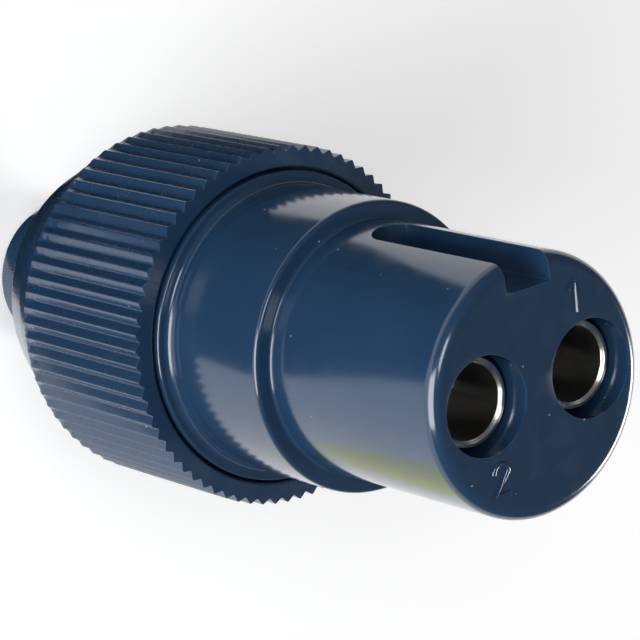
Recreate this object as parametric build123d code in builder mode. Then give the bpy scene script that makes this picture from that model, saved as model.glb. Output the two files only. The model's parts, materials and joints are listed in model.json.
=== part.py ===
from build123d import *
import math
import os

# A two-pole low voltage plug that stands on its cord snout, nose up
# Millimetres, +Z along the plug's axis towards the nose, origin under the snout

# Nose and middle of the front body
nose_r = 13.85
nose_length = 26.4
nose_rim_round = 1.5
middle_r = 15.8
middle_length = 15.8
shoulder_round = 0.5
nose_root_round = 0.4
boss_r = 17.2
boss_above_collar = 0.4
boss_below_collar = 2.0
boss_root_round = 0.8

# Threaded skirt of the front body, drawn at the root of its thread
thread_root_r = 16.4
thread_engaged = 13.4
skirt_bore_r = 13.8
skirt_bore_depth = 8.9
seat_gap = 0.1

# Keyway along the top of the nose
keyway_width = 5.8
keyway_floor = 10.4
keyway_length = 22.6

# Contacts
contact_spacing = 14.0
pin_bore_r = 4.0
pin_bore_depth = 28.0
sleeve_wall = 0.6
sleeve_recess = 2.6
sleeve_gap = 0.6
sleeve_slot_width = 0.8
sleeve_slot_length = 20.0
pilot_length = 12.0
pilot_clearance = 0.06
contact_flange_r = 5.9
contact_flange_thickness = 3.5
contact_flat = 5.0
flange_clearance = 0.1
lead_in = 0.3

# Terminals at the back of the contacts
shank_r = 4.4
shank_length = 12.5
shank_clearance = 0.1
wire_bore_r = 2.3
wire_bore_depth = 8.6
terminal_screw_height = 4.2
terminal_flat = 3.9
terminal_thread_r = 2.0
terminal_head_r = 3.2
terminal_head_height = 2.2
terminal_reach = 3.4

# Spring clips around the slotted sleeves
clip_thickness = 0.3
clip_width = 5.0
clip_mouth = 1.6
clip_clearance = 0.02
clip_below_face = 16.0

# Carrier that holds the contacts in and carries the cord clamp
carrier_thickness = 3.5
carrier_clearance = 0.3
carrier_screw_place = 10.2
carrier_screw_r = 1.45
carrier_screw_reach = 8.0
carrier_hole_r = 1.7
carrier_pilot_spare = 1.0
carrier_head_r = 2.7
carrier_head_height = 1.9
partition_thickness = 2.2
partition_width = 11.4
spine_width = 11.0
spine_thickness = 2.0
spine_gap = 0.5

# Cord clamp
clamp_above_funnel = 1.8
clamp_height = 6.0
jaw_depth = 6.9
saddle_ear = 3.2
cord_groove_r = 3.6
saddle_wall = 2.4
clamp_screw_place = 7.8
clamp_end = 2.8
clamp_screw_r = 1.45
clamp_hole_r = 1.65
clamp_head_r = 2.6
clamp_head_height = 1.9
clamp_nut_across = 5.5
clamp_nut_thickness = 2.4
clamp_nut_clearance = 0.1
groove_rib = 0.4
groove_rib_width = 0.8

# Knurled collar of the back shell
collar_length = 22.0
tooth_tip_r = 20.0
tooth_depth = 0.7
tooth_count = 72
groove_depth_at_back = 0.35
groove_fade_length = 5.0
collar_back_break = 0.8
mouth_clearance = 0.3
mouth_round = 0.35

# Hood and snout of the back shell
hood_length = 22.4
hood_top_r = 18.7
hood_belly_inset = 1.2
hood_belly_drop = 4.0
hood_belly_round = 17.5
hood_foot_inset = 2.9
hood_foot_rise = 3.4
snout_root_r = 8.8
snout_length = 8.6
snout_end_r = 8.4
snout_end_round = 0.8
snout_root_round = 2.5
hood_foot_round = 3.0
step_depth = 0.6
step_width = 0.7

# Hollow of the back shell
skirt_ledge = 1.9
hollow_shoulder_drop = 2.4
hood_wall = 1.7
funnel_top_rise = 1.2
funnel_foot_rise = 1.8
lip_thickness = 2.0
lip_bore_r = 5.0

# Rubber grommet in the snout
grommet_wall = 2.4
cord_bore_r = 3.9
grommet_clearance = 0.1
grommet_below_funnel = 0.5
nib_length = 1.4
nib_clearance = 0.15

# Shared small sizes
thread_clearance = 0.05
screw_slot_width = 0.8
screw_slot_depth = 0.9
edge_break = 0.3
numeral_height = 2.9
numeral_width = 1.7
numeral_stroke = 0.45
numeral_relief = 0.2
numeral_x = 6.1
numeral_y = 7.9

# Heights that follow from the sizes above
collar_top_z = hood_length + collar_length
shoulder_z = collar_top_z + middle_length
face_z = shoulder_z + nose_length
ledge_z = collar_top_z - thread_engaged
skirt_z = ledge_z + seat_gap
web_z = skirt_z + skirt_bore_depth
carrier_z = web_z - carrier_thickness
boss_top_z = collar_top_z + boss_above_collar
boss_low_z = collar_top_z - boss_below_collar
sleeve_r = pin_bore_r + sleeve_wall
hole_r = sleeve_r + sleeve_gap
pilot_r = hole_r - pilot_clearance
sleeve_top_z = face_z - sleeve_recess
flange_top_z = web_z + contact_flange_thickness
pilot_top_z = flange_top_z + pilot_length
shank_low_z = carrier_z - shank_length
terminal_z = shank_low_z + terminal_screw_height
hood_belly_r = hood_top_r - hood_belly_inset
hood_foot_r = hood_belly_r - hood_foot_inset
hood_belly_z = hood_length - hood_belly_drop
hood_foot_z = snout_length + hood_foot_rise
hollow_shoulder_z = hood_length - hollow_shoulder_drop
funnel_top_z = hood_foot_z + funnel_top_rise
funnel_foot_z = snout_length + funnel_foot_rise
clamp_low_z = funnel_top_z + clamp_above_funnel
clamp_mid_z = clamp_low_z + clamp_height / 2
contact_places = (contact_spacing / 2, -contact_spacing / 2)
mouth_r = boss_r + mouth_clearance
hollow_r = mouth_r - skirt_ledge
grommet_r = cord_bore_r + grommet_wall
grommet_seat_r = grommet_r + grommet_clearance
grommet_low_z = lip_thickness + grommet_clearance
grommet_top_z = funnel_foot_z - grommet_below_funnel
funnel_top_r = hood_foot_r - hood_wall
clamp_half_length = clamp_screw_place + clamp_end


def save(builder, name):
    builder.part.label = name
    export_step(builder.part, f"parts/{name}.step")


def corner(sketch, across, up):
    return sketch.vertices().sort_by_distance((across, up, 0))[0]


def upright(x):
    return Plane(origin=(x, 0, 0), x_dir=(1, 0, 0), z_dir=(0, -1, 0))


def screw(seat, head_r, head_height, shaft_r, reach):
    with BuildPart(seat) as made:
        Cylinder(shaft_r, reach, align=(Align.CENTER, Align.CENTER, Align.MAX))
        Cylinder(head_r, head_height, align=(Align.CENTER, Align.CENTER, Align.MIN))
        top_rim = made.edges().filter_by(GeomType.CIRCLE).sort_by(SortBy.RADIUS)[-2:]
        chamfer(top_rim.sort_by_distance(seat.origin)[-1], edge_break)
        with BuildSketch(seat.offset(head_height)):
            Rectangle(2 * head_r, screw_slot_width)
        extrude(amount=-screw_slot_depth, mode=Mode.SUBTRACT)
    return made


os.makedirs("parts", exist_ok=True)

# Front body: nose, shoulder, boss and threaded skirt in one moulding
with BuildPart() as front_body:
    with BuildSketch(Plane.XZ) as body_profile:
        with BuildLine():
            Polyline(
                (0, web_z),
                (skirt_bore_r, web_z),
                (skirt_bore_r, skirt_z),
                (thread_root_r, skirt_z),
                (thread_root_r, boss_low_z),
                (boss_r, boss_low_z),
                (boss_r, boss_top_z),
                (middle_r, boss_top_z),
                (middle_r, shoulder_z),
                (nose_r, shoulder_z),
                (nose_r, face_z),
                (0, face_z),
                close=True,
            )
        make_face()
        fillet(corner(body_profile, middle_r, boss_top_z), boss_root_round)
        fillet(corner(body_profile, middle_r, shoulder_z), shoulder_round)
        fillet(corner(body_profile, nose_r, shoulder_z), nose_root_round)
        fillet(corner(body_profile, nose_r, face_z), nose_rim_round)
        chamfer(corner(body_profile, boss_r, boss_top_z), edge_break)
        chamfer(corner(body_profile, thread_root_r, skirt_z), edge_break)
    revolve(axis=Axis.Z)
    # The two contact holes with a flat-sided pocket for each contact's flange
    with BuildSketch(Plane.XY.offset(face_z)):
        with Locations(*[(x, 0) for x in contact_places]):
            Circle(hole_r)
    extrude(amount=web_z - face_z, mode=Mode.SUBTRACT)
    with BuildSketch(Plane.XY.offset(web_z)):
        with Locations(*[(x, 0) for x in contact_places]):
            Circle(contact_flange_r + flange_clearance)
        with Locations(*[(x, -contact_flat - flange_clearance) for x in contact_places]):
            Rectangle(
                2 * contact_flange_r,
                contact_flange_r,
                align=(Align.CENTER, Align.MAX),
                mode=Mode.SUBTRACT,
            )
    extrude(amount=contact_flange_thickness, mode=Mode.SUBTRACT)
    # Pilot holes for the carrier's screws
    with BuildSketch(Plane.XY.offset(web_z)):
        with Locations((0, carrier_screw_place), (0, -carrier_screw_place)):
            Circle(carrier_screw_r + thread_clearance)
    extrude(amount=carrier_screw_reach + carrier_pilot_spare, mode=Mode.SUBTRACT)
    # The keyway, open at the face and at the outside, round at its back end
    with BuildSketch(Plane.XZ.offset(-keyway_floor)):
        with Locations((0, face_z)):
            Rectangle(
                keyway_width,
                keyway_length - keyway_width / 2,
                align=(Align.CENTER, Align.MAX),
            )
        with Locations((0, face_z - keyway_length + keyway_width / 2)):
            Circle(keyway_width / 2)
    extrude(amount=-nose_r, mode=Mode.SUBTRACT)
    # Raised pole numerals on the face, each drawn with strokes of one width
    with BuildSketch(Plane.XY.offset(face_z)):
        with BuildLine(Location((numeral_x, numeral_y))):
            Polyline(
                (-numeral_width / 2, numeral_height / 4),
                (0, numeral_height / 2),
                (0, -numeral_height / 2),
            )
        trace(line_width=numeral_stroke)
        with BuildLine(Location((-numeral_x, -numeral_y))):
            bow = numeral_width / 2
            hook = ThreePointArc(
                (-bow, numeral_height / 2 - bow),
                (0, numeral_height / 2),
                (bow, numeral_height / 2 - bow),
            )
            Polyline(hook @ 1, (-bow, -numeral_height / 2), (bow, -numeral_height / 2))
        trace(line_width=numeral_stroke)
    extrude(amount=numeral_relief)
save(front_body, "front_body")

# Back shell: knurled collar, hood and snout in one moulding
with BuildPart() as back_shell:
    half_tooth = math.pi / tooth_count
    rim = []
    for step in range(2 * tooth_count):
        radius = tooth_tip_r - tooth_depth * ((step + 1) % 2)
        rim.append((radius * math.cos(step * half_tooth), radius * math.sin(step * half_tooth)))
    with BuildSketch(Plane.XY.offset(hood_length)):
        with BuildLine():
            Polyline(*rim, close=True)
        make_face()
    extrude(amount=collar_length)
    # The grooves get shallower towards the back of the collar
    with BuildSketch(Plane.XZ):
        with BuildLine():
            Polyline(
                (0, hood_length),
                (tooth_tip_r - groove_depth_at_back, hood_length),
                (tooth_tip_r - tooth_depth - edge_break, hood_length + groove_fade_length),
                (0, hood_length + groove_fade_length),
                close=True,
            )
        make_face()
    revolve(axis=Axis.Z)
    # The collar's back edge is broken at 45 degrees
    runout = collar_back_break + edge_break
    with BuildSketch(Plane.XZ):
        with BuildLine():
            Polyline(
                (tooth_tip_r - runout, hood_length - edge_break),
                (tooth_tip_r + edge_break, hood_length - edge_break),
                (tooth_tip_r + edge_break, hood_length + runout),
                close=True,
            )
        make_face()
    revolve(axis=Axis.Z, mode=Mode.SUBTRACT)
    with BuildSketch(Plane.XZ) as hood_profile:
        with BuildLine():
            Polyline(
                (0, 0),
                (snout_end_r, 0),
                (snout_root_r, snout_length),
                (hood_foot_r, hood_foot_z),
                (hood_belly_r, hood_belly_z),
                (hood_top_r, hood_length - step_width),
                (hood_top_r - step_depth, hood_length - step_width),
                (hood_top_r - step_depth, hood_length),
                (0, hood_length),
                close=True,
            )
        make_face()
        fillet(corner(hood_profile, snout_end_r, 0), snout_end_round)
        fillet(corner(hood_profile, snout_root_r, snout_length), snout_root_round)
        fillet(corner(hood_profile, hood_foot_r, hood_foot_z), hood_foot_round)
        fillet(corner(hood_profile, hood_belly_r, hood_belly_z), hood_belly_round)
    revolve(axis=Axis.Z)
    with BuildSketch(Plane.XZ):
        with BuildLine():
            Polyline(
                (0, 0),
                (lip_bore_r, 0),
                (lip_bore_r, lip_thickness),
                (grommet_seat_r, lip_thickness),
                (grommet_seat_r, funnel_foot_z),
                (funnel_top_r, funnel_top_z),
                (hollow_r, hollow_shoulder_z),
                (hollow_r, ledge_z),
                (mouth_r, ledge_z),
                (mouth_r, collar_top_z),
                (0, collar_top_z),
                close=True,
            )
        make_face()
    revolve(axis=Axis.Z, mode=Mode.SUBTRACT)
    mouth_edge = back_shell.edges().filter_by(GeomType.CIRCLE).group_by(Axis.Z)[-1]
    fillet(mouth_edge, mouth_round)
save(back_shell, "back_shell")

# Two identical contacts: slotted socket in front, flange, and wire terminal behind
for number, x in enumerate(contact_places, start=1):
    axis = Axis((x, 0, 0), (0, 0, 1))
    with BuildPart() as contact:
        with BuildSketch(upright(x)) as contact_profile:
            with BuildLine():
                Polyline(
                    (0, shank_low_z),
                    (shank_r, shank_low_z),
                    (shank_r, web_z),
                    (contact_flange_r, web_z),
                    (contact_flange_r, flange_top_z),
                    (pilot_r, flange_top_z),
                    (pilot_r, pilot_top_z),
                    (sleeve_r, pilot_top_z),
                    (sleeve_r, sleeve_top_z),
                    (0, sleeve_top_z),
                    close=True,
                )
            make_face()
            chamfer(corner(contact_profile, shank_r, shank_low_z), edge_break)
            chamfer(corner(contact_profile, pilot_r, pilot_top_z), edge_break)
        revolve(axis=axis)
        with BuildSketch(Plane((x, 0, sleeve_top_z))):
            Circle(pin_bore_r)
        extrude(amount=-pin_bore_depth, mode=Mode.SUBTRACT)
        mouth = contact.edges().filter_by(GeomType.CIRCLE).group_by(Axis.Z)[-1]
        chamfer(mouth.sort_by(SortBy.RADIUS)[0], lead_in)
        # The slot that lets the sleeve spring, on the side away from the key
        with BuildSketch(Plane((x, 0, sleeve_top_z))):
            Rectangle(hole_r, sleeve_slot_width, align=(Align.MAX, Align.CENTER))
        extrude(amount=-sleeve_slot_length, mode=Mode.SUBTRACT)
        # The flat that keeps the flange from turning
        with BuildSketch(Plane((x, 0, web_z))):
            with Locations((0, -contact_flat)):
                Rectangle(2 * contact_flange_r, contact_flange_r, align=(Align.CENTER, Align.MAX))
        extrude(amount=contact_flange_thickness, mode=Mode.SUBTRACT)
        # Wire bore, the flat under the screw's head and the screw's hole
        with BuildSketch(Plane((x, 0, shank_low_z))):
            Circle(wire_bore_r)
        extrude(amount=wire_bore_depth, mode=Mode.SUBTRACT)
        with BuildSketch(upright(x).offset(-terminal_flat)):
            with Locations((0, terminal_z)):
                Circle(terminal_head_r + flange_clearance)
        extrude(amount=-shank_r, mode=Mode.SUBTRACT)
        with BuildSketch(upright(x).offset(-shank_r)):
            with Locations((0, terminal_z)):
                Circle(terminal_thread_r)
        extrude(amount=shank_r, mode=Mode.SUBTRACT)
    save(contact, f"contact_{number}")

# A spring clip around each sleeve, open where the sleeve is slotted
for number, x in enumerate(contact_places, start=1):
    with BuildPart() as contact_clip:
        with BuildSketch(Plane((x, 0, face_z - clip_below_face))):
            Circle(sleeve_r + clip_clearance + clip_thickness)
            Circle(sleeve_r + clip_clearance, mode=Mode.SUBTRACT)
            Rectangle(hole_r, clip_mouth, align=(Align.MAX, Align.CENTER), mode=Mode.SUBTRACT)
        extrude(amount=-clip_width)
    save(contact_clip, f"contact_clip_{number}")

# A cheese head screw in the side of each terminal
for number, x in enumerate(contact_places, start=1):
    terminal_seat = Plane(origin=(x, terminal_flat, terminal_z), x_dir=(1, 0, 0), z_dir=(0, 1, 0))
    terminal_screw = screw(
        terminal_seat,
        terminal_head_r,
        terminal_head_height,
        terminal_thread_r - thread_clearance,
        terminal_reach,
    )
    save(terminal_screw, f"terminal_screw_{number}")

# Carrier: a disc behind the contacts, a partition between the terminals,
# and a spine that holds the fixed jaw of the cord clamp
with BuildPart() as contact_carrier:
    with BuildSketch(Plane.XY.offset(carrier_z)):
        Circle(skirt_bore_r - carrier_clearance)
        with Locations(*[(x, 0) for x in contact_places]):
            Circle(shank_r + shank_clearance, mode=Mode.SUBTRACT)
        with Locations((0, carrier_screw_place), (0, -carrier_screw_place)):
            Circle(carrier_hole_r, mode=Mode.SUBTRACT)
    extrude(amount=carrier_thickness)
    disc_rims = contact_carrier.edges().filter_by(GeomType.CIRCLE).sort_by(SortBy.RADIUS)[-2:]
    chamfer(disc_rims, edge_break)
    spine_y = -shank_r - spine_gap
    with BuildSketch(Plane.XY.offset(shank_low_z)):
        with Locations((0, spine_y)):
            Rectangle(partition_thickness, partition_width, align=(Align.CENTER, Align.MIN))
    extrude(amount=carrier_z - shank_low_z)
    with BuildSketch(Plane.XY.offset(clamp_low_z)):
        with Locations((0, spine_y)):
            Rectangle(spine_width, spine_thickness, align=(Align.CENTER, Align.MAX))
    extrude(amount=carrier_z - clamp_low_z)
    with BuildSketch(Plane.XY.offset(clamp_low_z)):
        Rectangle(2 * clamp_half_length, jaw_depth, align=(Align.CENTER, Align.MAX))
        Circle(cord_groove_r, mode=Mode.SUBTRACT)
    extrude(amount=clamp_height)
    # Gripping ribs across the groove
    for height in (clamp_height / 3, 2 * clamp_height / 3):
        with BuildSketch(Plane.XY.offset(clamp_low_z + height - groove_rib_width / 2)):
            Circle(cord_groove_r + groove_rib)
            Circle(cord_groove_r - groove_rib, mode=Mode.SUBTRACT)
            Rectangle(
                4 * cord_groove_r,
                4 * cord_groove_r,
                align=(Align.CENTER, Align.MIN),
                mode=Mode.SUBTRACT,
            )
        extrude(amount=groove_rib_width)
    # Screw holes through the jaw, with a square pocket for each nut at its back
    with BuildSketch(Plane.XZ):
        with Locations((clamp_screw_place, clamp_mid_z), (-clamp_screw_place, clamp_mid_z)):
            Circle(clamp_hole_r)
    extrude(amount=jaw_depth, mode=Mode.SUBTRACT)
    with BuildSketch(Plane.XZ.offset(jaw_depth)):
        with Locations((clamp_screw_place, clamp_mid_z), (-clamp_screw_place, clamp_mid_z)):
            pocket = clamp_nut_across + 2 * clamp_nut_clearance
            Rectangle(pocket, pocket)
    extrude(amount=-clamp_nut_thickness, mode=Mode.SUBTRACT)
save(contact_carrier, "contact_carrier")

# Two screws that hold the carrier to the front body
for number, y in enumerate((carrier_screw_place, -carrier_screw_place), start=1):
    carrier_seat = Plane(origin=(0, y, carrier_z), x_dir=(1, 0, 0), z_dir=(0, 0, -1))
    carrier_screw = screw(
        carrier_seat,
        carrier_head_r,
        carrier_head_height,
        carrier_screw_r,
        carrier_thickness + carrier_screw_reach,
    )
    save(carrier_screw, f"carrier_screw_{number}")

# Saddle: the loose jaw of the cord clamp, arched over the cord
with BuildPart() as clamp_saddle:
    with BuildSketch(Plane.XY.offset(clamp_low_z)):
        Rectangle(2 * clamp_half_length, saddle_ear, align=(Align.CENTER, Align.MIN))
        Circle(cord_groove_r + saddle_wall)
        Rectangle(
            4 * clamp_half_length,
            4 * clamp_half_length,
            align=(Align.CENTER, Align.MAX),
            mode=Mode.SUBTRACT,
        )
        Circle(cord_groove_r, mode=Mode.SUBTRACT)
    extrude(amount=clamp_height)
    with BuildSketch(Plane.XY.offset(clamp_mid_z - groove_rib_width / 2)):
        Circle(cord_groove_r + groove_rib)
        Circle(cord_groove_r - groove_rib, mode=Mode.SUBTRACT)
        Rectangle(
            4 * cord_groove_r,
            4 * cord_groove_r,
            align=(Align.CENTER, Align.MAX),
            mode=Mode.SUBTRACT,
        )
    extrude(amount=groove_rib_width)
    with BuildSketch(Plane.XZ):
        with Locations((clamp_screw_place, clamp_mid_z), (-clamp_screw_place, clamp_mid_z)):
            Circle(clamp_hole_r)
    extrude(amount=-saddle_ear, mode=Mode.SUBTRACT)
save(clamp_saddle, "clamp_saddle")

# Screws and captive square nuts of the cord clamp
clamp_places = (clamp_screw_place, -clamp_screw_place)
for number, x in enumerate(clamp_places, start=1):
    clamp_seat = Plane(origin=(x, saddle_ear, clamp_mid_z), x_dir=(1, 0, 0), z_dir=(0, 1, 0))
    clamp_screw = screw(
        clamp_seat,
        clamp_head_r,
        clamp_head_height,
        clamp_screw_r,
        saddle_ear + jaw_depth,
    )
    save(clamp_screw, f"clamp_screw_{number}")
for number, x in enumerate(clamp_places, start=1):
    with BuildPart() as clamp_nut:
        with BuildSketch(Plane.XZ.offset(jaw_depth)):
            with Locations((x, clamp_mid_z)):
                Rectangle(clamp_nut_across, clamp_nut_across)
                Circle(clamp_screw_r + thread_clearance, mode=Mode.SUBTRACT)
        extrude(amount=-clamp_nut_thickness)
    save(clamp_nut, f"clamp_nut_{number}")

# Rubber grommet that lines the snout and grips the cord
with BuildPart() as cord_grommet:
    with BuildSketch(Plane.XZ) as grommet_profile:
        with BuildLine():
            Polyline(
                (cord_bore_r, grommet_low_z - nib_length),
                (lip_bore_r - nib_clearance, grommet_low_z - nib_length),
                (lip_bore_r - nib_clearance, grommet_low_z),
                (grommet_r, grommet_low_z),
                (grommet_r, grommet_top_z),
                (cord_bore_r, grommet_top_z),
                close=True,
            )
        make_face()
        chamfer(corner(grommet_profile, grommet_r, grommet_top_z), edge_break)
    revolve(axis=Axis.Z)
save(cord_grommet, "cord_grommet")
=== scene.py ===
import bpy
import json
import math
from bpy.props import FloatProperty, FloatVectorProperty, IntProperty, PointerProperty
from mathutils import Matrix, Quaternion, Vector


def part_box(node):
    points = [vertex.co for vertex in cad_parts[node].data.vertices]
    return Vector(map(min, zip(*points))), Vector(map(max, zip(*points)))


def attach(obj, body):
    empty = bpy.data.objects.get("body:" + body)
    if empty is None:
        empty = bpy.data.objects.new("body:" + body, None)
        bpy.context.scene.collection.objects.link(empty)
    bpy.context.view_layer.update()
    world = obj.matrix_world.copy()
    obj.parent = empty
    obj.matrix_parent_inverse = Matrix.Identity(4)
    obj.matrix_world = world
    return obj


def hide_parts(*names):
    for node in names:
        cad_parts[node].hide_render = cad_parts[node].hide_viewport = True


bl_info = {
    "name": "Low voltage plug",
    "version": (1, 0, 0),
    "blender": (4, 5, 0),
    "location": "3D View > Sidebar > Plug",
    "description": "Builds the finished mouldings, threads and metal of a two-pole low voltage plug",
    "category": "Add Mesh",
}

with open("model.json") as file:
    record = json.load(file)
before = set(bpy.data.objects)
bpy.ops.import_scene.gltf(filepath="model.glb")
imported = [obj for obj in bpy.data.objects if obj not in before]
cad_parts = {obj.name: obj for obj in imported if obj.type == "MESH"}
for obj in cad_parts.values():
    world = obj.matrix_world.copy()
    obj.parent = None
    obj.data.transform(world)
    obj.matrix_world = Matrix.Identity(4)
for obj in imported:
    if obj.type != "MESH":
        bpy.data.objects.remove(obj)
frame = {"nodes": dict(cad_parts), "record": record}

MM = 0.001
SHELL_LOW, SHELL_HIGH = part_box("back_shell")
FRONT_LOW, FRONT_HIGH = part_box("front_body")
CARRIER_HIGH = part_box("contact_carrier")[1]
NOSE_MOUNT = next(m for m in frame["record"]["mounts"] if m["name"] == "nose")

# Distance under which points are merged, and facets round the turned forms and the cutters
MERGE_GAP = 0.001 * MM
TURNED_FACETS = 256
THREAD_FACETS = 96
HOLE_FACETS = 128
KEYWAY_FACETS = 64

# Half of one rib: share of the pitch from the rib's middle, and depth for grooves of RIB_DRAWN
RIB_DRAWN = 0.7
RIB_HALF = (
    (0.0, 0.05), (0.04, 0.075), (0.09, 0.126),
    (0.42, 0.588), (0.46, 0.632), (0.5, 0.655),
)

# Azimuth, elevation, distance, size, level on the floor and colour of each lamp
SOFTBOXES = {
    "key_softbox": (332, 20, 1.2, 0.45, 0.20, (1.0, 0.99, 0.97)),
    "top_softbox": (145, 56, 1.0, 0.3, 0.17, (1.0, 1.0, 1.0)),
    "side_softbox": (182, 20, 1.3, 0.9, 0.40, (0.97, 0.98, 1.0)),
}

# Distance, depth and width of each black flag in millimetres, and the place of them all. The flags are
# seen only in reflections, where they paint a dark reflection on the plug's side that faces the camera
FLAGS = {
    "far_flag": (84, 112, 116),
    "near_flag": (20, 24, 36),
}
FLAG_AZIMUTH = math.radians(130)
FLAG_HEIGHT = 0.5 * MM


def length(name, default, description):
    """A size in metres with its name and default"""
    return FloatProperty(
        name=name, description=description, default=default, min=0.0, unit="LENGTH", precision=5
    )


def fraction(name, default, description):
    """A share from 0 to 1 with its name and default"""
    return FloatProperty(name=name, description=description, default=default, min=0.0, max=1.0)


def colour(name, default, description):
    """A colour in linear light with its name and default"""
    return FloatVectorProperty(
        name=name, description=description, default=default, size=3, min=0.0, max=1.0,
        subtype="COLOR",
    )


class PlugShellSettings(bpy.types.PropertyGroup):
    """Sizes of the knurled back shell"""

    tooth_count: IntProperty(name="Teeth", description="Ribs round the collar", default=72)
    tooth_tip: length("Tooth tip", 20.0 * MM, "Radius over the ribs")
    tooth_depth: length("Tooth depth", 0.7 * MM, "Depth of the grooves between ribs")
    collar_low: length("Collar foot", SHELL_HIGH.z - 22.0 * MM, "Height where the collar starts")
    collar_high: length("Collar mouth", SHELL_HIGH.z, "Height of the collar's open face")
    collar_back_round: length("Back round", 0.9 * MM, "Rounding of the collar's back edge")
    back_depth: length("Back depth", 0.35 * MM, "Depth of the grooves at the back edge")
    fade_length: length("Fade", 5.0 * MM, "Length over which the grooves reach their depth")
    fade_drop: length("Fade drop", 0.65 * MM, "Drop of the fading cone over that length")
    hood_radius: length("Hood", 18.7 * MM, "Radius of the hood beside the collar")
    step_depth: length("Step depth", 0.6 * MM, "Depth of the groove behind the collar")
    step_width: length("Step width", 0.7 * MM, "Width of the groove behind the collar")
    step_round: length("Step round", 0.08 * MM, "Rounding in the groove behind the collar")
    hood_edge_round: length("Hood edge", 0.12 * MM, "Rounding of the hood's edge at the groove")
    belly_drop: length("Belly drop", 4.0 * MM, "Drop of the belly's corner below the collar")
    belly_radius: length("Belly", 17.5 * MM, "Radius of the belly's corner")
    belly_round: length("Belly round", 17.5 * MM, "Rounding of the belly")
    foot_radius: length("Foot", 14.6 * MM, "Radius of the hood's foot")
    foot_height: length("Foot height", 12.0 * MM, "Height of the hood's foot")
    foot_round: length("Foot round", 3.0 * MM, "Rounding of the hood's foot")
    neck_radius: length("Neck", 8.8 * MM, "Radius where the snout meets the hood")
    neck_height: length("Neck height", 8.6 * MM, "Height where the snout meets the hood")
    neck_round: length("Neck round", 2.5 * MM, "Hollow rounding between snout and hood")
    snout_radius: length("Snout", 8.4 * MM, "Radius of the snout's end")
    snout_round: length("Snout round", 0.8 * MM, "Rounding of the snout's end")
    inlet_radius: length("Inlet", 5.0 * MM, "Radius of the hole in the snout's end")
    inlet_round: length("Inlet round", 0.3 * MM, "Rounding of that hole's edge")
    seat_radius: length("Grommet seat", 6.4 * MM, "Radius of the grommet's seat")
    seat_low: length("Seat foot", 2.0 * MM, "Height where the seat starts")
    seat_high: length("Seat top", 10.4 * MM, "Height where the seat ends")
    seat_round: length("Seat round", 0.4 * MM, "Rounding at the seat's top")
    funnel_radius: length("Funnel", 12.9 * MM, "Radius where the hood widens inside")
    funnel_height: length("Funnel height", 13.2 * MM, "Height where the hood widens inside")
    wall_radius: length("Inner wall", 15.6 * MM, "Radius of the room for the clamp")
    wall_drop: length("Wall drop", 2.4 * MM, "Drop of the wall's foot below the collar")
    wall_round: length("Wall round", 1.0 * MM, "Roundings inside the hood")
    mouth_radius: length("Mouth", 17.5 * MM, "Radius of the threaded mouth")
    mouth_round: length("Mouth round", 0.35 * MM, "Rounding of the mouth's edge")
    tip_round: length("Tip round", 0.1 * MM, "Rounding of the collar's front edge")
    ledge: length("Ledge", SHELL_HIGH.z - 13.4 * MM, "Height where the thread ends inside")
    ledge_round: length("Ledge round", 0.15 * MM, "Rounding of the ledge")
    thread_pitch: length("Thread pitch", 2.0 * MM, "Rise of the thread in one turn")
    thread_sink: length("Thread sink", 0.1 * MM, "How far the ridge's root lies in the wall")
    thread_reach: length("Thread reach", 0.85 * MM, "Height of the ridge over the wall")
    thread_foot: length("Thread foot", 1.25 * MM, "Width of the ridge at its root")
    thread_tip: length("Thread tip", 0.4 * MM, "Width of the ridge at its crest")
    thread_start: length("Thread start", 0.4 * MM, "From the ledge to the thread")
    thread_end: length("Thread end", 2.4 * MM, "From the thread to the mouth")


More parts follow.
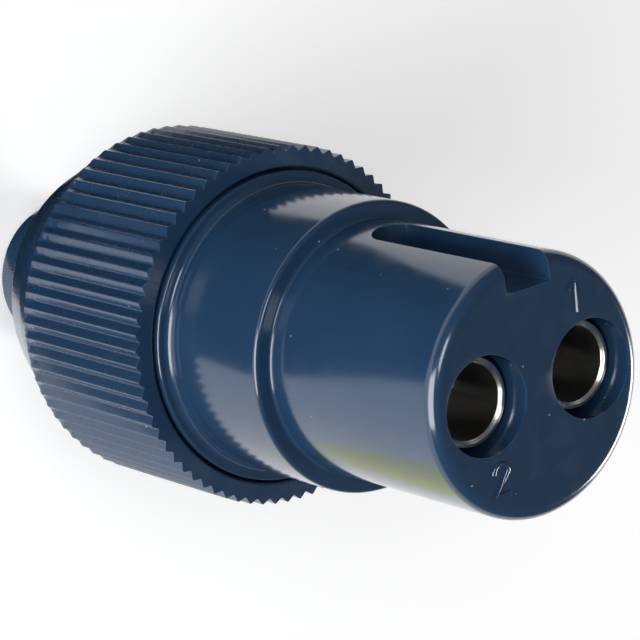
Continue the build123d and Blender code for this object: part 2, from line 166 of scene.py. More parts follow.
class PlugFrontSettings(bpy.types.PropertyGroup):
    """Sizes of the front body"""

    nose_radius: length("Nose", NOSE_MOUNT["dims"]["r_mm"] * MM, "Radius of the nose")
    face: length("Face", FRONT_HIGH.z - 0.2 * MM, "Height of the flat face")
    shoulder: length("Shoulder", 60.2 * MM, "Height of the step between middle and nose")
    middle_radius: length("Middle", 15.8 * MM, "Radius of the middle section")
    boss_radius: length("Boss", FRONT_HIGH.x, "Radius of the boss in the mouth")
    boss_sink: length("Boss sink", 2.0 * MM, "How deep the boss stands in the mouth")
    boss_stand: length("Boss stand", 0.4 * MM, "How far the boss stands out of the mouth")
    boss_low_round: length("Boss foot round", 0.1 * MM, "Rounding of the boss's lower edge")
    boss_high_round: length("Boss round", 0.3 * MM, "Rounding of the boss's upper edge")
    middle_round: length("Middle round", 0.8 * MM, "Hollow rounding between boss and middle")
    shoulder_round: length("Shoulder round", 0.5 * MM, "Rounding of the shoulder's edge")
    root_round: length("Nose root", 0.4 * MM, "Hollow rounding between shoulder and nose")
    face_round: length("Face round", 1.5 * MM, "Rounding round the face")
    edge_round: length("Edge round", 0.22 * MM, "Rounding of the keyway's and holes' edges")
    skirt_radius: length("Skirt", 16.4 * MM, "Radius at the root of the thread")
    skirt_bore: length("Skirt bore", 13.8 * MM, "Radius of the room inside the skirt")
    skirt_round: length("Skirt round", 0.25 * MM, "Rounding of the skirt's end")
    neck_round: length("Skirt root", 0.15 * MM, "Hollow rounding between skirt and boss")
    thread_sink: length("Thread sink", 0.1 * MM, "How far the ridge's root lies in the skirt")
    thread_reach: length("Thread reach", 0.75 * MM, "Height of the ridge over the skirt")
    thread_foot: length("Thread foot", 1.3 * MM, "Width of the ridge at its root")
    thread_tip: length("Thread tip", 0.4 * MM, "Width of the ridge at its crest")
    thread_start: length("Thread start", 0.3 * MM, "From the skirt's end to the thread")
    thread_end: length("Thread end", 0.4 * MM, "From the thread to the boss")
    keyway_width: length("Keyway width", 5.8 * MM, "Width of the slot along the nose")
    keyway_floor: length("Keyway floor", 10.4 * MM, "Distance of the slot's floor from the axis")
    keyway_length: length("Keyway length", 22.6 * MM, "Length of the slot")
    hole_radius: length("Holes", 5.2 * MM, "Radius of the two holes")
    hole_place: length("Hole place", 7.0 * MM, "Distance of each hole from the axis")
    cutter_length: length("Cutter", 60 * MM, "Length of the cutter for a hole")
    cutter_drop: length("Cutter drop", 20 * MM, "Depth of that cutter's middle below the face")
    cutter_reach: length("Keyway reach", 8 * MM, "Depth of the keyway's cutter")
    cutter_stand: length("Keyway stand", 5 * MM, "How far that cutter stands over the face")
    numeral_half_width: length("Numeral width", 0.95 * MM, "Half the width of a numeral")
    numeral_half_height: length("Numeral height", 1.6 * MM, "Half the height of a numeral")
    numeral_across: length("Numeral across", 6.1 * MM, "Sideways distance of a numeral's middle")
    numeral_along: length("Numeral along", 7.9 * MM, "Other distance of a numeral's middle")
    numeral_line: length("Numeral line", 0.28 * MM, "Half the width of a numeral's line")
    numeral_sink: length("Numeral sink", 0.08 * MM, "Depth of the line's middle in the face")


class PlugFinishSettings(bpy.types.PropertyGroup):
    """Colours, roughness, edge wear and painted edge highlights of the finishes"""

    plastic: colour("Plastic", (0.012, 0.037, 0.082), "Moulded navy plastic")
    # The pale colour lightens the plastic's edges, partly as rubbed wear and partly as a painted
    # highlight on the rounded edges
    plastic_pale_wear_and_highlight: colour("Pale plastic", (0.026, 0.060, 0.118), "The same plastic where it is worn")
    nickel: colour("Nickel", (0.86, 0.85, 0.82), "Plated contacts")
    steel: colour("Steel", (0.56, 0.57, 0.58), "Screws, nuts and clips")
    carrier: colour("Carrier", (0.035, 0.035, 0.038), "Black carrier and saddle")
    rubber: colour("Rubber", (0.018, 0.018, 0.019), "Cord grommet")
    shell_rough: fraction("Shell roughness", 0.24, "Roughness of the back shell")
    shell_coat: fraction("Shell gloss", 0.4, "Extra gloss of the back shell")
    front_rough: fraction("Front roughness", 0.16, "Roughness of the front body")
    front_coat: fraction("Front gloss", 0.5, "Extra gloss of the front body")
    # Reach of the lighter edges on plastic: rubbed wear and a painted edge highlight
    plastic_edge_wear_and_highlight: length("Plastic edge", 0.25 * MM, "Reach of the wear on plastic edges")
    nickel_rough: fraction("Nickel roughness", 0.20, "Roughness of the contacts")
    nickel_rings: fraction("Nickel rings", 0.9, "Strength of the contacts' tool rings")
    steel_rough: fraction("Steel roughness", 0.24, "Roughness of screws, nuts and clips")
    steel_rings: fraction("Steel rings", 0.25, "Strength of the screws' tool rings")
    metal_edge: length("Metal edge", 0.12 * MM, "Reach of the bright edges on metal")
    carrier_rough: fraction("Carrier roughness", 0.42, "Roughness of carrier and saddle")
    rubber_rough: fraction("Rubber roughness", 0.62, "Roughness of the grommet")
    matte_edge: length("Matt edge", 0.2 * MM, "Reach of the wear on matt edges")


class PlugStageSettings(bpy.types.PropertyGroup):
    """Camera, floor and the world's light"""

    aim: FloatVectorProperty(
        name="Aim", description="Point that the camera looks at", subtype="TRANSLATION",
        default=(0.77 * MM, 1.31 * MM, 50.1 * MM), precision=5,
    )
    distance: length("Distance", 0.3764, "From the camera to its aim")
    azimuth: FloatProperty(
        name="Azimuth", description="Direction of the camera round the plug",
        default=math.radians(244.14), subtype="ANGLE",
    )
    elevation: FloatProperty(
        name="Elevation", description="Height of the camera above the floor",
        default=math.radians(50.85), subtype="ANGLE",
    )
    roll: FloatProperty(
        name="Roll", description="Turn of the camera about its own line of sight",
        default=math.radians(103.27), subtype="ANGLE",
    )
    lens: FloatProperty(name="Lens", description="Focal length in millimetres", default=195.22)
    floor: colour("Floor", (0.93, 0.93, 0.93), "Pale studio floor")
    floor_glow: FloatProperty(
        name="Glow", description="Glow of the floor for camera, glossy and transmission rays",
        default=0.28,
    )
    world: FloatProperty(name="World", description="Strength of the world's light", default=0.10)
    # A yellow patch on the floor, hidden from the camera, that paints a warm reflection on the nose's
    # lower flank
    painted_reflection_patch: colour("Sheet", (0.93, 0.93, 0.25), "Pale yellow patch, hidden from the camera")
    painted_reflection_patch_place: FloatVectorProperty(
        name="Sheet place", description="Middle of the yellow patch", subtype="TRANSLATION",
        default=(-15 * MM, -88 * MM, 0), precision=5,
    )
    painted_reflection_patch_outer: length("Sheet outer", 36 * MM, "Radius where the yellow patch ends")
    painted_reflection_patch_inner: length("Sheet inner", 22 * MM, "Radius where the yellow patch starts to fade")


def fresh():
    """Leaves edit mode and deselects everything"""
    if bpy.context.object and bpy.context.object.mode != "OBJECT":
        bpy.ops.object.mode_set(mode="OBJECT")
    bpy.ops.object.select_all(action="DESELECT")


def named(name):
    """Gives the newest object and its mesh a name"""
    piece = bpy.context.object
    piece.name = piece.data.name = name
    return piece


def settle(piece):
    """Moves a piece's place into its mesh, so that its object sits at the origin"""
    fresh()
    piece.select_set(True)
    bpy.context.view_layer.objects.active = piece
    bpy.ops.object.transform_apply(location=True, rotation=True, scale=True)
    return piece


def edit(piece):
    """Opens a piece in edit mode with all of it selected"""
    settle(piece)
    bpy.ops.object.mode_set(mode="EDIT")
    bpy.ops.mesh.select_all(action="SELECT")


def close_up(piece):
    """Merges doubles and turns all faces outwards"""
    edit(piece)
    bpy.ops.mesh.remove_doubles(threshold=MERGE_GAP)
    bpy.ops.mesh.normals_make_consistent(inside=False)
    fresh()
    return piece


def apply_modifier(piece, kind, **values):
    """Adds a modifier with these values and applies it"""
    fresh()
    piece.select_set(True)
    bpy.context.view_layer.objects.active = piece
    modifier = piece.modifiers.new(kind.lower(), kind)
    for key, value in values.items():
        setattr(modifier, key, value)
    bpy.ops.object.modifier_apply(modifier=modifier.name)


def cut(piece, cutter):
    """Cuts the cutter's shape out of a piece"""
    apply_modifier(piece, "BOOLEAN", operation="DIFFERENCE", solver="EXACT", object=cutter)
    bpy.data.objects.remove(cutter)


def smooth(piece, degrees):
    """Shades a piece smooth up to the given angle"""
    fresh()
    piece.select_set(True)
    bpy.context.view_layer.objects.active = piece
    bpy.ops.object.shade_smooth_by_angle(angle=math.radians(degrees))


def finish_piece(piece, body, material):
    """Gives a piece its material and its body"""
    piece.data.materials.clear()
    piece.data.materials.append(material)
    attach(piece, body)


def rounded(corners, facets=5):
    """Points along an outline of corners, (radius, height, rounding), with each rounding an arc"""
    points = []
    for index, (across, up, bend) in enumerate(corners):
        here = Vector((across, up))
        if bend == 0:
            points.append(here)
            continue
        before = (Vector(corners[index - 1][:2]) - here).normalized()
        after = (Vector(corners[(index + 1) % len(corners)][:2]) - here).normalized()
        half = before.angle(after) / 2
        centre = here + (before + after).normalized() * (bend / math.sin(half))
        start = here + before * (bend / math.tan(half)) - centre
        end = here + after * (bend / math.tan(half)) - centre
        turn = math.atan2(start.x * end.y - start.y * end.x, start.dot(end))
        for step in range(facets + 1):
            angle = turn * step / facets
            points.append(
                centre
                + Vector((
                    start.x * math.cos(angle) - start.y * math.sin(angle),
                    start.x * math.sin(angle) + start.y * math.cos(angle),
                ))
            )
    return points


def turned(name, outline, steps):
    """A turned form: a closed outline of (radius, height) spun round the plug's axis"""
    fresh()
    first = outline[0]
    bpy.ops.mesh.primitive_plane_add(size=MM, location=(first.x, 0, first.y))
    piece = named(name)
    edit(piece)
    bpy.ops.mesh.merge(type="CENTER")
    for here, there in zip(outline, outline[1:] + outline[:1]):
        step = there - here
        bpy.ops.mesh.extrude_vertices_move(TRANSFORM_OT_translate={"value": (step.x, 0, step.y)})
    bpy.ops.mesh.select_all(action="SELECT")
    bpy.ops.mesh.spin(steps=steps, angle=2 * math.pi, center=(0, 0, 0), axis=(0, 0, 1))
    return close_up(piece)


def thread(name, root, crest, foot, tip, low, high, pitch, start):
    """A thread's ridge: its section wound up the plug's axis and cut flat at both ends"""
    turns = math.ceil((high - low) / pitch) + 2
    fresh()
    bpy.ops.mesh.primitive_plane_add(size=MM, location=((root + crest) / 2, 0, low - pitch))
    piece = named(name)
    settle(piece)
    section = [(root, -foot / 2), (crest, -tip / 2), (root, foot / 2), (crest, tip / 2)]
    for corner, (across, up) in zip(piece.data.vertices, section):
        corner.co = (
            across * math.cos(start), across * math.sin(start), low - pitch + up
        )
    apply_modifier(
        piece, "SCREW", axis="Z", angle=2 * math.pi, screw_offset=pitch, iterations=turns,
        steps=THREAD_FACETS, render_steps=THREAD_FACETS, use_merge_vertices=False,
    )
    edit(piece)
    bpy.ops.mesh.remove_doubles(threshold=MERGE_GAP)
    for height, side in ((low, True), (high, False)):
        bpy.ops.mesh.select_all(action="SELECT")
        bpy.ops.mesh.bisect(
            plane_co=(0, 0, height), plane_no=(0, 0, 1), use_fill=True,
            clear_inner=side, clear_outer=not side,
        )
    return close_up(piece)


def node_in(tree, kind, inputs=None, **values):
    """A shader node with its values and its inputs, each a number, a colour or another socket"""
    made = tree.nodes.new(kind)
    for key, value in values.items():
        setattr(made, key, value)
    for key, value in (inputs or {}).items():
        if isinstance(value, bpy.types.NodeSocket):
            tree.links.new(value, made.inputs[key])
        else:
            made.inputs[key].default_value = value
    return made


def between(tree, value, low, high, to_low, to_high):
    """Maps a value from one range to another"""
    mapped = node_in(tree, "ShaderNodeMapRange", {
        "Value": value, "From Min": low, "From Max": high, "To Min": to_low, "To Max": to_high,
    }, interpolation_type="SMOOTHSTEP")
    return mapped.outputs["Result"]


def blended(tree, share, first, second):
    """A mix of two colours by a share from 0 to 1"""
    mix = node_in(tree, "ShaderNodeMix", data_type="RGBA")
    for socket, value in zip((mix.inputs[0], mix.inputs[6], mix.inputs[7]), (share, first, second)):
        if isinstance(value, bpy.types.NodeSocket):
            tree.links.new(value, socket)
        else:
            socket.default_value = value
    return mix.outputs[2]


def noise_in(tree, place, scale, detail=3.0, roughness=0.5):
    """A soft noise at a scale in features a metre"""
    return node_in(tree, "ShaderNodeTexNoise", {
        "Vector": place, "Scale": scale, "Detail": detail, "Roughness": roughness,
    }).outputs["Fac"]


def new_material(name):
    """An empty material with its surface shader"""
    material = bpy.data.materials.new(name)
    material.use_nodes = True
    tree = material.node_tree
    place = node_in(tree, "ShaderNodeTexCoord").outputs["Object"]
    return material, tree, tree.nodes["Principled BSDF"], place


def edge_share(tree, radius):
    """How near a surface point is to a sharp edge, from 0 to 1"""
    soft = node_in(tree, "ShaderNodeBevel", {"Radius": radius}, samples=6)
    hard = node_in(tree, "ShaderNodeNewGeometry")
    dot = node_in(tree, "ShaderNodeVectorMath", {
        0: soft.outputs["Normal"], 1: hard.outputs["Normal"],
    }, operation="DOT_PRODUCT")
    return between(tree, dot.outputs["Value"], 0.995, 0.80, 0.0, 1.0)


def moulded_plastic(name, tint, rough, coat):
    """Glossy moulded plastic with faint flow marks, dust, and edges lightened as rubbed wear and as a
    painted highlight
    """
    material, tree, shader, place = new_material(name)
    base, pale_wear_and_highlight = tint.plastic, tint.plastic_pale_wear_and_highlight
    flow = noise_in(tree, place, 90, 4)
    cloud = noise_in(tree, place, 420, 5, 0.6)
    edges = edge_share(tree, tint.plastic_edge_wear_and_highlight)
    # Edge mask: partly rubbed wear, partly a painted highlight along the rounded edges
    rubbed_and_highlit = node_in(tree, "ShaderNodeMath", {
        0: edges, 1: between(tree, cloud, 0.35, 0.65, 0.25, 1.0),
    }, operation="MULTIPLY").outputs[0]
    tone = blended(tree, between(tree, flow, 0.3, 0.7, 0.0, 1.0), (*base, 1),
                   (*[0.82 * b + 0.18 * p for b, p in zip(base, pale_wear_and_highlight)], 1))
    worn_and_highlit = blended(tree, rubbed_and_highlit, tone, (*[1.6 * p for p in pale_wear_and_highlight], 1))
    specks = node_in(tree, "ShaderNodeTexVoronoi", {"Vector": place, "Scale": 1100.0})
    near = between(tree, specks.outputs["Distance"], 0.13, 0.08, 0.0, 1.0)
    chosen = between(
        tree,
        node_in(tree, "ShaderNodeSeparateColor", {"Color": specks.outputs["Color"]}).outputs[0],
        0.965, 0.97, 0.0, 1.0,
    )
    dust = node_in(
        tree, "ShaderNodeMath", {0: near, 1: chosen}, operation="MULTIPLY"
    ).outputs[0]
    dusty = blended(tree, dust, worn_and_highlit, (0.30, 0.32, 0.34, 1))
    tree.links.new(dusty, shader.inputs["Base Color"])
    haze = between(tree, cloud, 0.3, 0.7, rough - 0.03, rough + 0.05)
    dull = node_in(tree, "ShaderNodeMath", {0: dust, 1: 0.5}, operation="MULTIPLY").outputs[0]
    tree.links.new(
        node_in(tree, "ShaderNodeMath", {0: haze, 1: dull}, operation="ADD").outputs[0],
        shader.inputs["Roughness"],
    )
    peel = noise_in(tree, place, 1500, 2)
    wave = noise_in(tree, place, 260, 2)
    height = node_in(tree, "ShaderNodeMath", {0: peel, 1: 0.25}, operation="MULTIPLY").outputs[0]
    height = node_in(tree, "ShaderNodeMath", {0: height, 1: wave}, operation="ADD").outputs[0]
    bump = node_in(tree, "ShaderNodeBump", {
        "Strength": 0.10, "Distance": 0.02 * MM, "Height": height,
    })
    tree.links.new(bump.outputs["Normal"], shader.inputs["Normal"])
    shader.inputs["IOR"].default_value = 1.5
    shader.inputs["Coat Weight"].default_value = coat
    shader.inputs["Coat Roughness"].default_value = 0.12
    return material


def turned_metal(name, base, rough, ring_scale, ring_strength, edge):
    """Turned and plated metal with fine tool rings, stains and bright edges"""
    material, tree, shader, place = new_material(name)
    stretched = node_in(tree, "ShaderNodeMapping", {
        "Vector": place, "Scale": (ring_scale * 0.02, ring_scale * 0.02, ring_scale),
    }).outputs["Vector"]
    rings = node_in(tree, "ShaderNodeTexNoise", {
        "Vector": stretched, "Scale": 1.0, "Detail": 2.0,
    }).outputs["Fac"]
    stain = noise_in(tree, place, 380, 4, 0.6)
    edges = edge_share(tree, edge)
    dark = (*[0.62 * b for b in base], 1)
    tone = blended(tree, between(tree, stain, 0.42, 0.72, 0.0, 0.35), (*base, 1), dark)
    bright = blended(tree, edges, tone, (*[min(1.0, 1.2 * b) for b in base], 1))
    tree.links.new(bright, shader.inputs["Base Color"])
    tree.links.new(
        between(tree, stain, 0.3, 0.75, rough, rough + 0.07), shader.inputs["Roughness"]
    )
    bump = node_in(tree, "ShaderNodeBump", {
        "Strength": ring_strength, "Distance": 0.04 * MM, "Height": rings,
    })
    tree.links.new(bump.outputs["Normal"], shader.inputs["Normal"])
    shader.inputs["Metallic"].default_value = 1.0
    return material


def matte(name, base, rough, grain, edge):
    """Matt plastic or rubber with a fine grain and paler edges from wear"""
    material, tree, shader, place = new_material(name)
    cloud = noise_in(tree, place, 300, 4, 0.6)
    edges = edge_share(tree, edge)
    tone = blended(tree, between(tree, cloud, 0.3, 0.7, 0.0, 1.0), (*base, 1),
                   (*[1.35 * b for b in base], 1))
    tree.links.new(blended(tree, edges, tone, (*[2.4 * b for b in base], 1)),
                   shader.inputs["Base Color"])
    tree.links.new(between(tree, cloud, 0.3, 0.7, rough - 0.08, rough + 0.08),
                   shader.inputs["Roughness"])
    bump = node_in(tree, "ShaderNodeBump", {
        "Strength": 0.3, "Distance": 0.03 * MM, "Height": noise_in(tree, place, grain, 3),
    })
    tree.links.new(bump.outputs["Normal"], shader.inputs["Normal"])
    return material


def dress(nodes, material):
    """Gives carried-over nodes a material"""
    for node in nodes:
        for slot in frame["nodes"][node].material_slots:
            slot.material = material


class PLUG_OT_back_shell(bpy.types.Operator):
    """Makes the knurled collar, hood and snout as one moulding with its inner thread"""

    bl_idname = "plug.back_shell"
    bl_label = "Back shell"

    def execute(self, context):
        size = context.scene.plug_shell
        tip, low, high = size.tooth_tip, size.collar_low, size.collar_high
        floor = size.hood_radius - size.step_depth
        outline = rounded([
            (size.mouth_radius, high, size.mouth_round),
            (tip, high, size.tip_round),
            *[(tip, low + size.fade_length * step / 12, 0) for step in range(12, 2, -1)],
            (tip, low, size.collar_back_round),
            (floor, low, size.step_round),
            (floor, low - size.step_width, size.step_round),
            (size.hood_radius, low - size.step_width, size.hood_edge_round),
            (size.belly_radius, low - size.belly_drop, size.belly_round),
            (size.foot_radius, size.foot_height, size.foot_round),
            (size.neck_radius, size.neck_height, size.neck_round),
            (size.snout_radius, SHELL_LOW.z, size.snout_round),
            (size.inlet_radius, SHELL_LOW.z, size.inlet_round),
            (size.inlet_radius, size.seat_low, 0),
            (size.seat_radius, size.seat_low, 0),
            (size.seat_radius, size.seat_high, size.seat_round),
            (size.funnel_radius, size.funnel_height, size.wall_round),
            (size.wall_radius, low - size.wall_drop, size.wall_round),
            (size.wall_radius, size.ledge, size.ledge_round),
            (size.mouth_radius, size.ledge, 0),
        ])
        piece = self.ribbed(size, outline)
        smooth(piece, 28)
        apply_modifier(piece, "WEIGHTED_NORMAL", weight=90, keep_sharp=True)
        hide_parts("back_shell")
        finish_piece(piece, "shell", bpy.data.materials["navy_shell"])
        ridge = thread(
            "back_shell_thread", size.mouth_radius + size.thread_sink,
            size.mouth_radius - size.thread_reach, size.thread_foot, size.thread_tip,
            size.ledge + size.thread_start, high - size.thread_end, size.thread_pitch, 0.0,
        )
        smooth(ridge, 30)
        finish_piece(ridge, "shell", bpy.data.materials["navy_shell"])
        return {"FINISHED"}

    def ribbed(self, size, outline):
        """One rib's share of the shell, shaped on a grid, then copied all the way round"""
        across = [(-u, d) for u, d in reversed(RIB_HALF[1:])] + list(RIB_HALF)
        columns, rows = len(across) - 1, len(outline)
        fresh()
        bpy.ops.mesh.primitive_grid_add(x_subdivisions=columns, y_subdivisions=rows, size=1.0)
        piece = settle(named("back_shell_moulding"))
        pitch = 2 * math.pi / size.tooth_count
        for corner in piece.data.vertices:
            share, depth = across[round((corner.co.x + 0.5) * columns)]
            point = outline[round((corner.co.y + 0.5) * rows) % rows]
            rib = size.tooth_tip - depth / RIB_DRAWN * size.tooth_depth
            rise = (point.y - size.collar_low) / size.fade_length
            fade = size.tooth_tip - size.back_depth - rise * size.fade_drop
            radius = min(point.x, max(rib, fade))
            angle = (share + 0.5) * pitch
            corner.co = (radius * math.cos(angle), radius * math.sin(angle), point.y)
        edit(piece)
        bpy.ops.mesh.spin(
            steps=size.tooth_count - 1, dupli=True, angle=pitch * (size.tooth_count - 1),
            center=(0, 0, 0), axis=(0, 0, 1),
        )
        return close_up(piece)


class PLUG_OT_front_body(bpy.types.Operator):
    """Makes the nose, shoulder, boss and threaded skirt with the keyway and the two holes"""

    bl_idname = "plug.front_body"
    bl_label = "Front body"

    def execute(self, context):
        size = context.scene.plug_front
        shell = context.scene.plug_shell
        web = CARRIER_HIGH.z
        boss_low = shell.collar_high - size.boss_sink
        boss_high = shell.collar_high + size.boss_stand
        outline = rounded([
            (0, web, 0),
            (size.skirt_bore, web, 0),
            (size.skirt_bore, FRONT_LOW.z, 0),
            (size.skirt_radius, FRONT_LOW.z, size.skirt_round),
            (size.skirt_radius, boss_low, size.neck_round),
            (size.boss_radius, boss_low, size.boss_low_round),
            (size.boss_radius, boss_high, size.boss_high_round),
            (size.middle_radius, boss_high, size.middle_round),
            (size.middle_radius, size.shoulder, size.shoulder_round),
            (size.nose_radius, size.shoulder, size.root_round),
            (size.nose_radius, size.face, size.face_round),
            (0, size.face, 0),
        ], 7)
        piece = turned("front_body_moulding", outline, TURNED_FACETS)
        cut(piece, self.keyway(size))
        for place in (size.hole_place, -size.hole_place):
            fresh()
            bpy.ops.mesh.primitive_cylinder_add(
                vertices=HOLE_FACETS, radius=size.hole_radius, depth=size.cutter_length,
                location=(place, 0, size.face - size.cutter_drop),
            )
            cut(piece, settle(named("hole_cutter")))
        apply_modifier(
            piece, "BEVEL", width=size.edge_round, segments=3, limit_method="ANGLE",
            angle_limit=math.radians(35), use_clamp_overlap=True,
        )
        smooth(piece, 40)
        apply_modifier(piece, "WEIGHTED_NORMAL", weight=90, keep_sharp=True)
        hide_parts("front_body")
        finish_piece(piece, "front", bpy.data.materials["navy_front"])
        ridge = thread(
            "front_body_thread", size.skirt_radius - size.thread_sink,
            size.skirt_radius + size.thread_reach, size.thread_foot, size.thread_tip,
            FRONT_LOW.z + size.thread_start, boss_low - size.thread_end,
            shell.thread_pitch, math.pi,
        )
        smooth(ridge, 30)
        finish_piece(ridge, "front", bpy.data.materials["navy_front"])
        return {"FINISHED"}

    def keyway(self, size):
        """A bar with a round back end, from the slot's floor out past the nose"""
        reach = size.cutter_reach
        half = size.keyway_width / 2
        back = size.face - size.keyway_length + half
        fresh()
        bpy.ops.mesh.primitive_cylinder_add(
            vertices=KEYWAY_FACETS, radius=half, depth=reach, rotation=(math.pi / 2, 0, 0),
            location=(0, size.keyway_floor + reach / 2, back),
        )
        cutter = settle(named("keyway_cutter"))
        top = size.face + size.cutter_stand
        for corner in cutter.data.vertices:
            if corner.co.z > back + 10 * MERGE_GAP:
                corner.co = (math.copysign(half, corner.co.x), corner.co.y, top)
        return close_up(cutter)


class PLUG_OT_numerals(bpy.types.Operator):
    """Makes the raised pole numerals on the face"""

    bl_idname = "plug.numerals"
    bl_label = "Pole numerals"

    def execute(self, context):
        size = context.scene.plug_front
        wide, tall = size.numeral_half_width, size.numeral_half_height
        bow = [
            (-wide * math.cos(turn), tall - wide + wide * math.sin(turn))
            for turn in (math.pi * step / 12 for step in range(13))
        ]
        one = [(-wide, 0.5 * tall), (0, tall), (0, -tall)]
        two = [*bow, (-wide, -tall), (wide, -tall)]
        for name, place, line in (("one", 1, one), ("two", -1, two)):
            across, along = place * size.numeral_across, place * size.numeral_along
            corners = [(across + x, along + y) for x, y in line]
            piece = self.stroke(f"pole_numeral_{name}", corners, size)
            finish_piece(piece, "front", bpy.data.materials["navy_front"])
        return {"FINISHED"}

    def stroke(self, name, corners, size):
        """A raised line of one width along the corners, rounded on top"""
        curve = bpy.data.curves.new(name, "CURVE")
        curve.dimensions = "3D"
        curve.bevel_depth = size.numeral_line
        curve.bevel_resolution = 3
        curve.use_fill_caps = True
        line = curve.splines.new("POLY")
        line.points.add(len(corners) - 1)
        for point, (x, y) in zip(line.points, corners):
            point.co = (x, y, size.face - size.numeral_sink, 1)
        piece = bpy.data.objects.new(name, curve)
        bpy.context.scene.collection.objects.link(piece)
        fresh()
        piece.select_set(True)
        bpy.context.view_layer.objects.active = piece
        bpy.ops.object.convert(target="MESH")
        close_up(piece)
        smooth(piece, 40)
        return piece


class PLUG_OT_finishes(bpy.types.Operator):
    """Mixes the plastics, metals and rubber and gives the carried-over nodes theirs"""

    bl_idname = "plug.finishes"
    bl_label = "Finishes"

    def execute(self, context):
        tint = context.scene.plug_finish
        moulded_plastic("navy_shell", tint, tint.shell_rough, tint.shell_coat)
        moulded_plastic("navy_front", tint, tint.front_rough, tint.front_coat)
        nickel = turned_metal("bright_nickel", tint.nickel, tint.nickel_rough, 7000,
                              tint.nickel_rings, tint.metal_edge)
        steel = turned_metal("plain_steel", tint.steel, tint.steel_rough, 5000,
                             tint.steel_rings, tint.metal_edge)
        carrier = matte("black_carrier", tint.carrier, tint.carrier_rough, 2400, tint.matte_edge)
        rubber = matte("black_rubber", tint.rubber, tint.rubber_rough, 3600, tint.matte_edge)
        dress(["contact_1", "contact_2"], nickel)
        dress(["contact_clip_1", "contact_clip_2"], steel)
        for family in ("terminal_screw", "carrier_screw", "clamp_screw", "clamp_nut"):
            dress([f"{family}_1", f"{family}_2"], steel)
        dress(["contact_carrier", "clamp_saddle"], carrier)
        dress(["cord_grommet"], rubber)
        return {"FINISHED"}


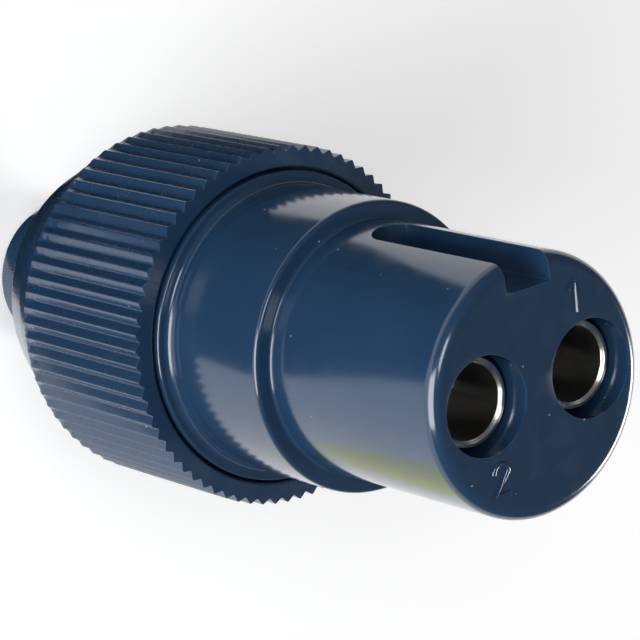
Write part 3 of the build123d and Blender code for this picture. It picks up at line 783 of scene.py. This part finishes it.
class PLUG_OT_stage(bpy.types.Operator):
    """Sets up the pale floor with its painted warm reflection patch, the soft lamps, the black flags
    that paint dark reflections, and the camera
    """

    bl_idname = "plug.stage"
    bl_label = "Studio"

    def execute(self, context):
        stage = context.scene.plug_stage
        self.floor(stage)
        for name, values in SOFTBOXES.items():
            self.softbox(name, *values)
        for name, values in FLAGS.items():
            self.flag(name, *values)
        world = bpy.data.worlds.new("studio_world")
        world.use_nodes = True
        world.node_tree.nodes["Background"].inputs["Color"].default_value = (1, 1, 1, 1)
        world.node_tree.nodes["Background"].inputs["Strength"].default_value = stage.world
        context.scene.world = world
        context.scene.view_settings.view_transform = "Standard"
        self.camera(stage)
        return {"FINISHED"}

    def floor(self, stage):
        """A floor that looks white where it is lit, with a yellow patch hidden from the camera that
        paints a warm reflection on the nose
        """
        fresh()
        bpy.ops.mesh.primitive_plane_add(size=8.0, location=(0, 0, 0))
        floor = named("studio_floor")
        material, tree, shader, place = new_material("floor_paper")
        rays = node_in(tree, "ShaderNodeLightPath").outputs
        paper = blended(tree, noise_in(tree, place, 40), (*stage.floor, 1),
                        (*[0.985 * c for c in stage.floor], 1))
        # The yellow patch is seen only by reflected and bounced rays: a painted warm reflection on the
        # nose
        span = node_in(tree, "ShaderNodeVectorMath", {0: place, 1: stage.painted_reflection_patch_place},
                       operation="DISTANCE").outputs["Value"]
        unseen = node_in(tree, "ShaderNodeMath", {0: 1.0, 1: rays["Is Camera Ray"]},
                         operation="SUBTRACT").outputs[0]
        painted_reflection_patch = node_in(tree, "ShaderNodeMath", {
            0: between(tree, span, stage.painted_reflection_patch_outer, stage.painted_reflection_patch_inner, 0.0, 1.0), 1: unseen,
        }, operation="MULTIPLY").outputs[0]
        tree.links.new(blended(tree, painted_reflection_patch, paper, (*stage.painted_reflection_patch, 1)), shader.inputs["Base Color"])
        seen = rays["Is Camera Ray"]
        for kind in ("Is Glossy Ray", "Is Transmission Ray"):
            seen = node_in(tree, "ShaderNodeMath", {0: seen, 1: rays[kind]},
                           operation="MAXIMUM").outputs[0]
        glow = node_in(tree, "ShaderNodeMath", {0: seen, 1: stage.floor_glow},
                       operation="MULTIPLY").outputs[0]
        shader.inputs["Emission Color"].default_value = (1, 1, 1, 1)
        tree.links.new(glow, shader.inputs["Emission Strength"])
        shader.inputs["Roughness"].default_value = 0.9
        shader.inputs["Specular IOR Level"].default_value = 0.1
        floor.data.materials.append(material)

    def softbox(self, name, azimuth, elevation, distance, size, level, tint):
        """A square soft light that lights the floor under the plug to the given level"""
        turn, rise = math.radians(azimuth), math.radians(elevation)
        way = Vector((math.cos(turn) * math.cos(rise), math.sin(turn) * math.cos(rise), math.sin(rise)))
        lamp = bpy.data.lights.new(name, "AREA")
        lamp.size = size
        lamp.color = tint
        lamp.energy = level * math.pi**2 * distance**2 / math.sin(rise)
        holder = bpy.data.objects.new(name, lamp)
        holder.location = way * distance
        holder.rotation_euler = way.to_track_quat("Z", "Y").to_euler()
        bpy.context.scene.collection.objects.link(holder)

    def flag(self, name, distance, deep, wide):
        """A black flag on the camera's side, hidden from the camera, diffuse light and shadows, so that
        it only paints a dark reflection on the plug
        """
        fresh()
        away = distance * MM
        bpy.ops.mesh.primitive_plane_add(
            size=MM, rotation=(0, 0, FLAG_AZIMUTH),
            location=(away * math.cos(FLAG_AZIMUTH), away * math.sin(FLAG_AZIMUTH), FLAG_HEIGHT),
        )
        bpy.context.object.scale = (deep, wide, 1.0)
        flag = settle(named(name))
        material, tree, shader, place = new_material(f"{name}_cloth")
        # The flag's near-black colour paints the dark reflection band on the plug's side that faces the
        # camera
        painted_dark_reflection = blended(tree, noise_in(tree, place, 900), (0.004, 0.004, 0.004, 1),
                        (0.008, 0.008, 0.008, 1))
        tree.links.new(painted_dark_reflection, shader.inputs["Base Color"])
        shader.inputs["Roughness"].default_value = 1.0
        shader.inputs["Specular IOR Level"].default_value = 0.0
        flag.data.materials.append(material)
        flag.visible_camera = flag.visible_shadow = flag.visible_diffuse = False

    def camera(self, stage):
        """A camera that looks at its aim from the photograph's place"""
        back = Vector((
            math.sin(stage.azimuth) * math.cos(stage.elevation),
            -math.cos(stage.azimuth) * math.cos(stage.elevation),
            math.sin(stage.elevation),
        ))
        lens = bpy.data.cameras.new("photo_camera")
        lens.lens = stage.lens
        lens.sensor_width = 36.0
        lens.clip_start, lens.clip_end = 0.01, 20.0
        camera = bpy.data.objects.new("photo_camera", lens)
        camera.location = Vector(stage.aim) + back * stage.distance
        camera.rotation_mode = "QUATERNION"
        camera.rotation_quaternion = back.to_track_quat("Z", "Y") @ Quaternion((0, 0, 1), stage.roll)
        bpy.context.scene.collection.objects.link(camera)
        bpy.context.scene.camera = camera


OPERATORS = (
    PLUG_OT_finishes,
    PLUG_OT_back_shell,
    PLUG_OT_front_body,
    PLUG_OT_numerals,
    PLUG_OT_stage,
)
SETTINGS = {
    "plug_shell": PlugShellSettings,
    "plug_front": PlugFrontSettings,
    "plug_finish": PlugFinishSettings,
    "plug_stage": PlugStageSettings,
}


class PLUG_PT_panel(bpy.types.Panel):
    """Lists the plug's pieces in the sidebar"""

    bl_idname = "PLUG_PT_panel"
    bl_label = "Low voltage plug"
    bl_space_type = "VIEW_3D"
    bl_region_type = "UI"
    bl_category = "Plug"

    def draw(self, context):
        for operator in OPERATORS:
            self.layout.operator(operator.bl_idname)
        for group, settings in SETTINGS.items():
            column = self.layout.column(align=True)
            for name in settings.__annotations__:
                column.prop(getattr(context.scene, group), name)


def register():
    for group, settings in SETTINGS.items():
        bpy.utils.register_class(settings)
        setattr(bpy.types.Scene, group, PointerProperty(type=settings))
    for made in (*OPERATORS, PLUG_PT_panel):
        bpy.utils.register_class(made)


def unregister():
    for made in reversed((*OPERATORS, PLUG_PT_panel)):
        bpy.utils.unregister_class(made)
    for group, settings in reversed(SETTINGS.items()):
        delattr(bpy.types.Scene, group)
        bpy.utils.unregister_class(settings)


def main():
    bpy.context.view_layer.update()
    register()
    bpy.ops.plug.finishes()
    bpy.ops.plug.back_shell()
    bpy.ops.plug.front_body()
    bpy.ops.plug.numerals()
    bpy.ops.plug.stage()


if __name__ == "__main__":
    main()
